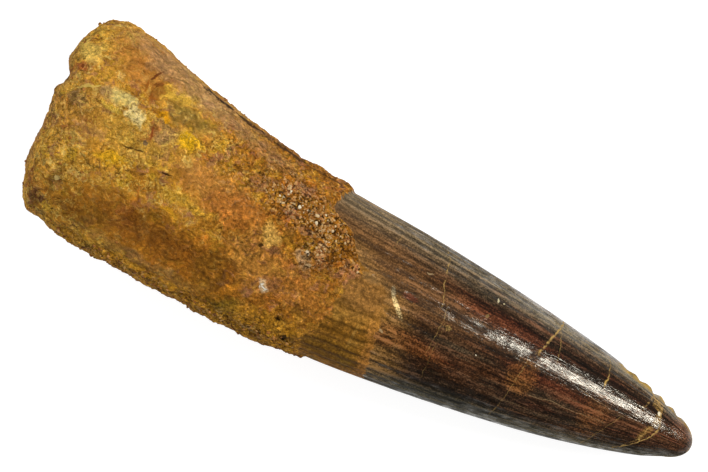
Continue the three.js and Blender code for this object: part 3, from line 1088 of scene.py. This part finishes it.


# %% [markdown]
# ### Crust
#
# The crust is sandstone in which iron has set as ochre, rust and yellow limonite, and clay as cream and
# mauve. Noises that are themselves read at swayed places give clouds that curl like real stains. Over
# the clouds lie the patches that belong to this stone alone. Where it was smeared smooth, its grain is
# brushed out lengthwise. Where it is sandy, pale sand and dark gaps show between the loose grains. The
# gaps, and small pits where the grain dips, are painted shade.

# %% Crust: places of its own colour
CRUST_PATCHES = (
    (-30.0, -9.0, 13.0, 3.4, 0, 0.75, "#7f4910"),
    (-30.0, -8.6, 7.0, 1.6, 2, 0.6, "#6b3f10"),
    (-30.0, -12.2, 10.0, 0.7, 0, 0.5, "#8f6a35"),
    (-38.5, -10.4, 4.0, 1.8, 0, 0.5, "#6a4a12"),
    (-19.5, -9.0, 2.4, 3.0, 0, 0.5, "#5e4310"),
    (-40.9, 11.5, 4.8, 2.8, -15, 0.8, "#a3692c"),
    (-45.0, 1.5, 3.0, 4.0, 0, 0.5, "#9a6a2c"),
    (-37.0, 2.0, 5.0, 3.0, 10, 0.6, "#bc9038"),
    (-24.5, 1.2, 5.5, 2.0, -4, 0.75, "#a56b30"),
    (-20.0, 0.0, 4.0, 2.2, 12, 0.8, "#a66526"),
    (-11.0, -5.0, 8.0, 3.0, -8, 0.5, "#96602a"),
    (-41.0, 6.0, 1.8, 0.9, -8, 0.95, "#cdb66c"),
    (-38.5, 4.6, 1.5, 0.9, -32, 1.0, "#d0b878"),
    (-43.6, 5.9, 1.2, 0.7, 0, 0.8, "#9c7c50"),
    (-41.5, 4.3, 1.6, 0.5, -5, 0.6, "#c8a83c"),
    (-43.8, -8.0, 0.6, 2.4, 0, 0.6, "#5c4012"),
    (-46.4, 3.0, 1.4, 0.9, 0, 0.7, "#8a6840"),
    (-48.2, 9.6, 1.9, 1.5, 0, 0.9, "#d0ac50"),
    (-48.0, 7.2, 1.0, 0.5, 40, 0.8, "#8a4420"),
    (-30.8, 5.1, 2.0, 1.1, 0, 1.0, "#cf9d18"),
    (-34.8, 6.4, 1.3, 0.5, -10, 1.0, "#c88a14"),
    (-38.4, -1.7, 2.2, 0.9, 10, 0.9, "#c49218"),
    (-27.6, -2.3, 4.4, 0.8, 0, 0.85, "#b88a2a"),
    (-28.4, -4.4, 1.2, 0.5, -20, 0.8, "#c08a1c"),
    (-35.0, 9.8, 3.0, 0.8, 14, 0.8, "#c49a34"),
    (-37.6, 9.0, 0.7, 1.6, 0, 0.7, "#7c3c14"),
    (-35.3, 3.6, 0.5, 1.6, 0, 0.6, "#8a4420"),
    (-33.4, 4.6, 1.2, 1.8, -40, 0.6, "#9a7650"),
    (-32.0, 8.0, 3.8, 1.3, -4, 0.75, "#77602a"),
    (-34.0, 12.2, 10.0, 1.6, -12, 0.7, "#93714c"),
    (-22.8, 11.1, 6.5, 0.18, -7.6, 0.6, "#3c2610"),
    (-22.0, 9.4, 6.0, 1.0, -12, 0.6, "#8a6238"),
    (-14.4, -0.8, 1.3, 1.3, -30, 0.95, "#cf9f4c"),
    (-11.8, -7.4, 0.8, 0.42, -8, 0.8, "#b89c74"),
    (-9.0, -1.3, 0.9, 1.4, 15, 0.7, "#c0986a"),
    (-6.3, -0.8, 1.4, 0.9, 10, 0.8, "#84502a"),
    (-16.3, -10.3, 2.2, 0.7, 55, 0.7, "#b0701c"),
    (-15.8, -12.8, 2.6, 1.4, 30, 0.8, "#54480f"),
    (-45.3, -11.6, 1.1, 0.6, 0, 0.7, "#563820"),
    # These two pale bands along the front edge are painted light: they brighten the lower side, where less
    # light falls.
    (-26.0, -14.4, 19.0, 1.4, 0, 0.75, "#c48a26"),
    (-9.0, -12.4, 6.0, 2.2, 6, 0.7, "#b07c20"),
    (-6.4, -8.0, 1.1, 0.8, 0, 0.6, "#5a4014"),
)

print("crust:", len(CRUST_PATCHES), "patches")

# %% Crust: cracks, ledge lines and small stones
# x, y, half sizes, turn, strength and hex colour.
CRUST_FLECKS = (
    (-29.8, 12.4, 2.8, 0.26, -11, 0.95, "#2c1b0b"),
    (-24.5, 11.4, 3.1, 0.22, -10, 0.9, "#33200d"),
    (-17.9, 10.5, 3.8, 0.22, -5, 0.85, "#3a240e"),
    (-11.5, 10.1, 2.8, 0.16, -2, 0.7, "#422b12"),
    (-20.0, 9.2, 2.0, 0.12, -9, 0.5, "#553616"),
    (-26.0, 12.3, 3.0, 0.3, -11, 0.6, "#80764a"),
    (-12.0, 11.0, 4.0, 0.25, -3, 0.5, "#8c7440"),
    (-38.7, 10.9, 1.1, 0.2, 62, 0.85, "#5c2a12"),
    (-39.2, 9.0, 0.9, 0.18, 95, 0.7, "#8a4a12"),
    (-35.3, 3.7, 1.2, 0.16, 100, 0.85, "#8c4420"),
    (-36.4, 0.7, 1.8, 0.16, 14, 0.85, "#4a3012"),
    (-30.8, -0.2, 0.75, 0.16, 18, 0.95, "#3a240e"),
    (-41.4, -3.8, 1.6, 0.14, -30, 0.6, "#553812"),
    (-48.0, 7.2, 0.35, 0.3, 0, 0.8, "#6c3418"),
    (-49.4, 6.0, 0.5, 0.2, 60, 0.7, "#7a4020"),
    (-46.0, 5.2, 1.8, 0.2, 30, 0.7, "#d4b65c"),
    (-43.8, -7.8, 0.5, 0.4, 0, 0.8, "#c8ac68"),
    (-45.3, -11.9, 1.2, 0.6, -5, 0.6, "#58391f"),
    (-35.4, 2.1, 0.4, 0.3, 0, 0.8, "#5f4f42"),
    (-12.3, -7.1, 0.3, 0.15, 35, 0.95, "#e4dccb"),
    (-11.8, -7.4, 0.5, 0.13, -10, 0.95, "#e4dccb"),
    (-12.5, -7.6, 0.14, 0.2, 0, 0.9, "#d8ccb4"),
    (-11.6, -7.7, 0.24, 0.1, 20, 0.8, "#d8ccb4"),
    (-8.8, -0.5, 0.24, 0.42, 20, 0.9, "#dcc8a4"),
    (-7.9, -1.8, 0.36, 0.18, 30, 0.8, "#c9a878"),
    (-6.9, 0.2, 0.9, 0.16, 45, 0.85, "#c48850"),
    (-6.2, 0.5, 0.5, 0.12, -40, 0.8, "#40200e"),
    (-15.0, -2.5, 0.4, 0.3, 0, 0.9, "#38240c"),
    (-8.2, -10.4, 0.4, 0.25, 0, 0.9, "#2c1c08"),
    (-6.3, -12.3, 0.5, 0.35, 0, 0.9, "#33230a"),
)

print("crust:", len(CRUST_FLECKS), "flecks")

# %% Crust: its noises and covers
class Stone:
    """The noises and covers that the crust's colour and relief share."""

    def __init__(self, g, ground):
        place = ground.place
        self.warped = g.swayed(place, place, 0.6, 6.0, 3.4)
        self.curled = g.swayed(self.warped, place, 1.5, 3.0, 1.8)
        self.large = g.noise(place, 8.0, detail=4, roughness=0.6)
        self.middle = g.noise(self.warped, 2.6, detail=6, roughness=0.65)
        self.small = g.noise(self.curled, 0.9, detail=4, roughness=0.65)
        self.fine = g.noise(place, 0.45, detail=3, roughness=0.7)
        self.hue = g.noise(self.warped, 1.9, detail=6, roughness=0.7, moved=(31.0, 17.0, 5.0))
        self.rust = g.noise(self.warped, 4.0, detail=5, roughness=0.65, moved=(7.0, 41.0, 3.0))
        self.mauve = g.noise(self.warped, 2.4, detail=5, roughness=0.65, moved=(3.0, 9.0, 27.0))
        self.cream = g.noise(self.curled, 1.3, detail=4, roughness=0.65, moved=(19.0, 2.0, 11.0))
        cells = g.cells(self.curled, 2.2)
        self.grain = (g.separate(cells.also("Color"))[0] - 0.5) * 0.8 - cells * 0.8 + 0.3
        self.smooth = smooth_cover(g, self.warped, ground.up)
        self.busy = 1.0 - self.smooth
        self.smear = g.noise(self.warped, 0.7, detail=5, roughness=0.72, squeezed=(0.35, 1.0, 1.0))
        self.towards_end = ground.along.step(-14.0, -36.0)


# %% Crust: clouds of stain, the broken end and the patches
STONE = palette(
    by_crown="#925b18", by_break="#b98028", at_break="#c89236", pale="#bb8a38", dark="#80500f",
    rust="#a2581e", limonite="#cda22c", mauve="#966448", cream="#d8b860", bone="#9c6c3a", pulp="#6a4a1e",
    vein="#dab654", seam="#603a14", pit="#462a0c", gap="#261808", pale_sand="#ccae7c",
)


def stained_stone(g, ground, stone):
    """The stone's colour before its grain: clouds, the parts of the break, and the patches on top."""
    colour = mixed(g, stone.towards_end, STONE.by_crown, STONE.by_break)
    colour = mixed(g, ground.along.step(-40.0, -45.0) * 0.7, colour, STONE.at_break)
    pale = (stone.large * 1.5 + stone.middle * 0.6).step(0.0, 0.6)
    colour = mixed(g, pale * 0.5, colour, STONE.pale)
    dark = (stone.large * -1.5 - stone.middle * 0.6).step(0.0, 0.6)
    colour = mixed(g, dark * 0.5, colour, STONE.dark)
    colour = mixed(g, stone.rust.step(0.06, 0.35) * 0.6, colour, STONE.rust)
    limonite = stone.hue.step(0.0, 0.3) * (stone.towards_end * 0.45 + 0.25)
    colour = mixed(g, limonite, colour, STONE.limonite)
    colour = mixed(g, stone.mauve.step(0.04, 0.26) * 0.65, colour, STONE.mauve)
    cream = stone.cream.step(0.1, 0.35) * (stone.towards_end * 0.6 + 0.2)
    colour = mixed(g, cream, colour, STONE.cream)
    bone_wall = (ground.along + stone.middle * 0.3).step(END_X + 1.4, END_X + 0.8)
    colour = mixed(g, bone_wall * 0.6, colour, STONE.bone)
    pulp = (ground.along + stone.middle * 0.3).step(END_X + 0.55, END_X + 0.3)
    colour = mixed(g, pulp * 0.75, colour, STONE.pulp)
    spotted = patched(g, stone.warped, colour, CRUST_PATCHES, stone.small * -0.9 - stone.hue * 0.45)
    return mixed(g, ground.up, colour, spotted)


# %% Crust: veins, light and dark of the grain, painted shade in pits and gaps, sand and flecks
def crust_finish(g, ground):
    """Colour, roughness, fine height in millimetres and gloss."""
    place, sandy = ground.place, ground.sand
    stone = Stone(g, ground)
    middle, small, fine, grain = stone.middle, stone.small, stone.fine, stone.grain
    busy, towards_end = stone.busy, stone.towards_end
    colour = stained_stone(g, ground, stone)
    vein = abs(g.noise(stone.curled, 2.6, detail=3, roughness=0.55)).step(0.055, 0.0) * busy
    seam = abs(g.noise(stone.curled, 3.0, detail=3, moved=(50.0, 0.0, 9.0))).step(0.04, 0.0) * busy
    colour = mixed(g, vein * (towards_end * 0.45 + 0.15), colour, STONE.vein)
    colour = mixed(g, seam * 0.5, colour, STONE.seam)
    rough_sand = busy + sandy * 0.4
    brushed = stone.smear * stone.smooth
    sharp = fine * (busy * 0.4 + 1.2 - towards_end * 0.6)
    light = middle * 0.55 + small * (busy * 0.8 + 0.15) + sharp + brushed * 2.0
    light = (light + grain * rough_sand * 0.35) * (1 - towards_end * 0.12)
    cluster = g.noise(place, 5.0, detail=2).step(-0.2, 0.15)
    # The pits are painted shade: dark specks where the grain dips, in place of shadow in small hollows.
    pits = (small * -0.9 - fine * 0.5 - grain * 0.3).step(0.14, 0.42) * busy * cluster
    colour = g.scaled(colour, (light * 1.15).exp())
    colour = mixed(g, pits * 0.65, colour, STONE.pit)
    # The gaps between the loose grains are painted shade: dark where the grain dips in the sandy places.
    gaps = (grain * -0.8 - fine * 0.5 - small * 1.1).step(0.12, 0.45) * sandy
    clots = g.noise(stone.curled, 0.8, detail=3, roughness=0.6)
    colour = mixed(g, gaps * 0.85, colour, STONE.gap)
    colour = mixed(g, sandy * (clots + grain * 0.5).step(0.08, 0.34) * 0.75, colour, STONE.pale_sand)
    above_side = ground.angle.sin().step(0.08, 0.22)
    colour = mixed(g, above_side, colour, flecked(g, ground, colour, CRUST_FLECKS))
    height = small * 0.22 * (busy + 0.1) + fine * 0.05 * busy + grain * rough_sand * 0.05 + middle * 0.12
    return colour, 0.8, height + brushed * 0.14, 0.0


# %% [markdown]
# ### Cracks
#
# As the crown dried it cracked across, and ochre clay has filled the cracks. Each follows a curve of its
# place along the tooth against its place round it, and a second curve fades it out at both ends. A noise
# makes the line wander, and another leaves the clay out here and there.

# %% Cracks: hair lines across the enamel, filled with ochre clay
# Each is its half width, its strength and its points: degrees round and millimetres along.
CRACKS = (
    (0.055, 0.7, ((14, 7.8), (32, 8.8), (54, 9.5), (65, 10.3), (72, 10.8))),
    (0.035, 0.4, ((71, 11.5), (80, 11.9), (90, 11.9), (105, 12.0), (112, 12.0))),
    (0.03, 0.3, ((80, 12.2), (96, 12.5), (112, 12.7), (134, 13.0))),
    (0.09, 1.0, ((2, 27.0), (32, 26.8), (44, 26.6), (57, 26.1), (70, 25.8))),
    (0.045, 0.35, ((68, 25.6), (80, 24.8), (114, 24.5), (134, 24.2), (150, 23.9))),
    (0.04, 0.5, ((30, 26.9), (47, 27.8), (62, 28.4), (70, 28.6))),
    (0.04, 0.35, ((34, 1.5), (42, 1.3), (50, 1.3))),
    (0.05, 0.55, ((18, 34.6), (38, 35.5), (50, 35.9), (71, 36.0))),
    (0.045, 0.5, ((93, 40.1), (105, 39.3), (121, 38.5), (136, 37.8), (160, 37.0))),
    (0.045, 0.55, ((0, 42.9), (36, 42.8), (49, 42.7), (61, 42.4), (69, 42.1))),
    (0.1, 0.6, ((0, 41.0), (33, 43.1), (40, 44.0), (51, 44.7), (59, 44.9), (69, 45.1), (82, 45.4))),
    (0.055, 0.6, ((87, 44.4), (99, 44.2), (114, 43.8), (123, 43.3), (135, 42.4), (145, 41.9), (170, 38.6))),
    (0.085, 0.95, ((82, 45.4), (94, 45.5), (103, 45.1), (114, 44.5), (125, 43.7), (135, 42.9), (151, 41.2))),
    (0.07, 0.7, ((149, 41.4), (162, 39.5), (180, 37.6), (205, 37.0))),
    (0.05, 0.6, ((210, 30.0), (240, 29.2), (275, 29.8), (300, 28.6))),
    (0.05, 0.5, ((200, 14.0), (230, 15.2), (262, 15.0))),
)
# Half of the share of a turn in which a crack fades at its ends.
CRACK_FADE = 0.012


def crack_cover(g, ground):
    """How much of the surface is crack, from 0 to 1."""
    wandered = ground.along + g.noise(ground.place, 1.2, detail=5, roughness=0.65) * 0.55
    clay = g.noise(ground.place, 0.6, detail=3) * 2.4 + 0.7
    cover = 0.0
    for half_width, strength, points in CRACKS:
        places = turned_edge(points)
        first, last = places[0][0], places[-1][0]
        low, high = min(x for _, x in places) - 1, max(x for _, x in places) + 1
        line = g.curve(ground.around, places, (0.0, 1.0, low, high))
        apart = abs(wandered - line).step(half_width * 2.2, half_width * 0.6)
        ends = [(first - CRACK_FADE, 0.0), (first + CRACK_FADE, strength)]
        ends += [(last - CRACK_FADE, strength), (last + CRACK_FADE, 0.0)]
        inside = g.curve(ground.around, ends, (0.0, 1.0, 0.0, 1.0))
        cover = (apart * inside).most(cover)
    return cover * clay


print("cracks:", len(CRACKS))

# %% [markdown]
# ### Worn edges, and the whole tooth
#
# Near the point the enamel is worn through to ochre along both edges, on the point and in the chips. All
# finishes then join in one material. A glossy shader and a matt one share the colour and the bump, and
# the gloss mixes them. That is how a single skin can be dull stone at one end and polished enamel at the
# other, with the shine broken by every crack.

# %% Worn edges near the point
OCHRE = paint("#957736")[:3]
CLAY = paint("#a2824a")


def worn_edges(g, ground, grit, is_bare):
    """Where the enamel is worn to ochre, and the ochre's colour there."""
    stain = g.noise(ground.place, 1.8, detail=4, roughness=0.65)
    start = (ground.along + stain * 4 + grit * 2).step(36.6, 39.5)
    streaky = g.noise(ground.barrel, 0.5, detail=4, roughness=0.7)
    off_edge = abs(ground.angle - 0.2) + grit * 0.25 + streaky * 0.3
    back = off_edge.step(0.38, 0.16) * start
    front = (abs(ground.angle - math.pi + 0.14) + grit * 0.25).step(0.24, 0.08)
    front = front * ground.along.step(45, 49)
    point = (ground.along + grit * 0.5 + stain * 0.5).step(TIP_X - 0.4, TIP_X + 0.1)
    worn = back.most(front * 0.7).most(point * 0.6).most(ground.chips.step(0.1, 0.4) * 0.6)
    cover = worn * (stain * 1.6 + grit * 1.6 + 0.8).most(0.0).least(0.95) * is_bare
    return cover, g.scaled(OCHRE, (grit * 1.5 + streaky * 1.5).exp())


# %% The whole tooth's material: a matt and a glossy shader under one colour, mixed by the gloss
GLOSSY_ROUGHNESS = 0.13
GLOSS_TINT = (1.0, 0.93, 0.78, 1.0)


def tooth_material():
    material, g = new_material("fossil tooth")
    ground = Ground(g)
    grit = g.noise(ground.place, 1.1, detail=5, roughness=0.7)
    thin = ground.angle.step(1.25, 1.6) * ground.angle.step(2.9, 2.5)
    is_bare = (ground.past_crust / (thin * 3 + 1) + grit * (thin * 0.9 + 0.6)).step(-0.2, 0.15)
    soft = ground.angle.step(1.95, 1.65) * ground.angle.step(1.2, 1.4) * 5 + 1
    is_enamel = ((ground.past_enamel + grit * 1.3) / soft).step(-0.12, 0.12) * is_bare
    finishes = (crust_finish, collar_finish, enamel_finish)
    crust, collar, enamel = (finish(g, ground) for finish in finishes)
    colour = mixed(g, is_enamel, mixed(g, is_bare, crust[0], collar[0]), enamel[0])
    roughness, height, gloss = (
        (stony * (1 - is_bare) + is_bare * worn) * (1 - is_enamel) + dark * is_enamel
        for stony, worn, dark in zip(crust[1:], collar[1:], enamel[1:])
    )
    cracks = crack_cover(g, ground) * is_bare
    colour = mixed(g, cracks.most(0.0).least(0.95), colour, CLAY)
    worn, ochre = worn_edges(g, ground, grit, is_bare)
    colour = mixed(g, worn, colour, ochre)
    dull = cracks.most(worn)
    bump = g.node("ShaderNodeBump", {}, {"Strength": 1.0, "Distance": MM, "Height": height})
    shared = {"Base Color": colour, "Normal": bump, "IOR": 1.5}
    matt = {**shared, "Roughness": roughness + dull * 0.3, "Specular IOR Level": 0.05}
    glossy = {**shared, "Roughness": GLOSSY_ROUGHNESS, "Specular IOR Level": 0.5}
    glossy["Specular Tint"] = GLOSS_TINT
    shaders = (g.node("ShaderNodeBsdfPrincipled", {}, values) for values in (matt, glossy))
    shader = g.node("ShaderNodeMixShader", {}, (gloss * (1 - dull).most(0.0), *shaders))
    g.node("ShaderNodeOutputMaterial", {}, {"Surface": shader})
    print("tooth material:", len(g.tree.nodes), "nodes")
    return material


# %% [markdown]
# ### Grains
#
# The loose grains are clear quartz, quartz stained by iron, and a little dark mineral. The scattering
# tree has noted a random tone on each grain, and a colour ramp turns the tone into its mineral.

# %% Grains: from dark mineral to clean quartz
GRAIN_COLOURS = (
    (0.0, "#33230f"), (0.12, "#4a3014"), (0.22, "#7a4c1c"), (0.5, "#a0682c"), (0.8, "#b98e54"),
    (0.9, "#cbb084"), (0.98, "#dccfae"),
)


def grain_material():
    material, g = new_material("sand grains")
    stops = [(tone, paint(colour)) for tone, colour in GRAIN_COLOURS]
    colour = g.node("ShaderNodeValToRGB", {"stops": stops}, (attribute(g, "tone"),))
    values = {"Base Color": colour, "Roughness": 0.6, "IOR": 1.5, "Specular IOR Level": 0.12}
    g.node("ShaderNodeOutputMaterial", {}, {"Surface": g.node("ShaderNodeBsdfPrincipled", {}, values)})
    return material


# %% [markdown]
# ## Putting it together
#
# Each tree runs as a modifier, and its result is kept as a plain mesh. The grains grow on a copy of the
# raised tooth, because they sit on its relief. Both pieces then ride on the model's only body, and the
# tooth takes the place of the plain solid.

# %% Raise the relief
tooth = grow(tooth, relief_tree(), Finish=tooth_material())
print("relief:", len(tooth.data.polygons), "faces")

# %% Scatter the grains
FACES_OF_PEBBLE = 20

grains = grow(new_object("sand_grains", tooth.data.copy()), grain_tree(), Finish=grain_material())
print("grains:", len(grains.data.polygons) // FACES_OF_PEBBLE)

# %% Fasten both to the model
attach(tooth, "root")
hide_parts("tooth")
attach(grains, "root")

# %% [markdown]
# ## Floor, light and camera
#
# The tooth lies on a plain white floor under soft light. A long soft box beyond the back edge lays one
# broken line of light along the enamel, and a pale surround fills the shadows and greys the grazing
# edges. The camera looks straight down.

# %% Floor and surround
FLOOR_SIZE = 3.0
FLOOR_FINISH = {
    "Base Color": (0.25, 0.25, 0.25, 1.0),
    "Roughness": 0.9,
    "Emission Color": (1.0, 1.0, 1.0, 1.0),
    "Emission Strength": 0.93,
}
GLOW_OVERHEAD = 0.14
GLOW_ROUND_ABOUT = 0.2


def white_floor():
    """A plain floor that glows a little, so that it stays white under the tooth's soft shadow."""
    bpy.ops.mesh.primitive_plane_add(size=FLOOR_SIZE, location=(0, 0, 0))
    floor = bpy.context.object
    floor.name = "floor"
    material, g = new_material("white floor")
    shader = g.node("ShaderNodeBsdfPrincipled", {}, FLOOR_FINISH)
    g.node("ShaderNodeOutputMaterial", {}, {"Surface": shader})
    floor.data.materials.append(material)


def pale_surround():
    """A pale surround that is dim overhead, where the camera looks through."""
    world = bpy.data.worlds.new("surround")
    world.use_nodes = True
    world.node_tree.nodes.clear()
    g = Graph(world.node_tree)
    height = g.separate(g.node("ShaderNodeTexCoord", {}, (), "Generated"))[2]
    strength = height.step(0.85, 0.35) * (GLOW_ROUND_ABOUT - GLOW_OVERHEAD) + GLOW_OVERHEAD
    background = g.node("ShaderNodeBackground", {}, {"Color": (1, 1, 1, 1), "Strength": strength})
    g.node("ShaderNodeOutputWorld", {}, {"Surface": background})
    bpy.context.scene.world = world


white_floor()
pale_surround()
bpy.context.scene.view_settings.view_transform = "Standard"
print("floor", FLOOR_SIZE, "m wide under a surround of strength", GLOW_ROUND_ABOUT)

# %% Soft boxes: direction from the tooth, distance, size along and across it, and power
# The middle of the tooth, which both lights face, in metres.
AIM = Vector((0.004, 0.0, 0.011))
SOFT_BOXES = {
    "key": ((0.54, 0.41, 0.82), 0.6, (0.32, 0.055), 3.75),
    "fill": ((-0.75, 0.1, 0.65), 0.6, (0.3, 0.3), 1.7),
}


def soft_box(name, direction, distance, size, power):
    """A rectangular light that faces the tooth, its long side along the tooth."""
    light = bpy.data.lights.new(name, "AREA")
    light.shape = "RECTANGLE"
    light.size, light.size_y = size
    light.energy = power
    away = Vector(direction).normalized()
    across = away.cross(Vector((1, 0, 0))).normalized()
    turn = Matrix((across.cross(away), across, away)).transposed().to_4x4()
    new_object(name, light).matrix_world = Matrix.Translation(AIM + away * distance) @ turn


for name, values in SOFT_BOXES.items():
    soft_box(name, *values)
    print(name, "light:", values[-1], "W")

# %% Camera, looking straight down
# The lens and its sensor, in millimetres.
LENS = 200.0
SENSOR = 36.0
# What the camera takes in, in metres: the view's width and centre, at the height of the tooth's outline.
VIEW_WIDTH = 0.0984
VIEW_CENTRE = (-0.00444, 0.00468)
SILHOUETTE_HEIGHT = 0.011
VIEW_TURN = math.radians(28.747)


def overhead_camera():
    """A long lens straight above, turned so that the tooth lies aslant in the frame."""
    camera = bpy.data.cameras.new("camera")
    camera.lens = LENS
    camera.sensor_width = SENSOR
    holder = new_object("camera", camera)
    height = SILHOUETTE_HEIGHT + VIEW_WIDTH * LENS / SENSOR
    holder.matrix_world = Matrix.Translation((*VIEW_CENTRE, height)) @ Matrix.Rotation(VIEW_TURN, 4, "Z")
    bpy.context.scene.camera = holder
    print("camera:", round(height, 2), "m above the floor")


overhead_camera()
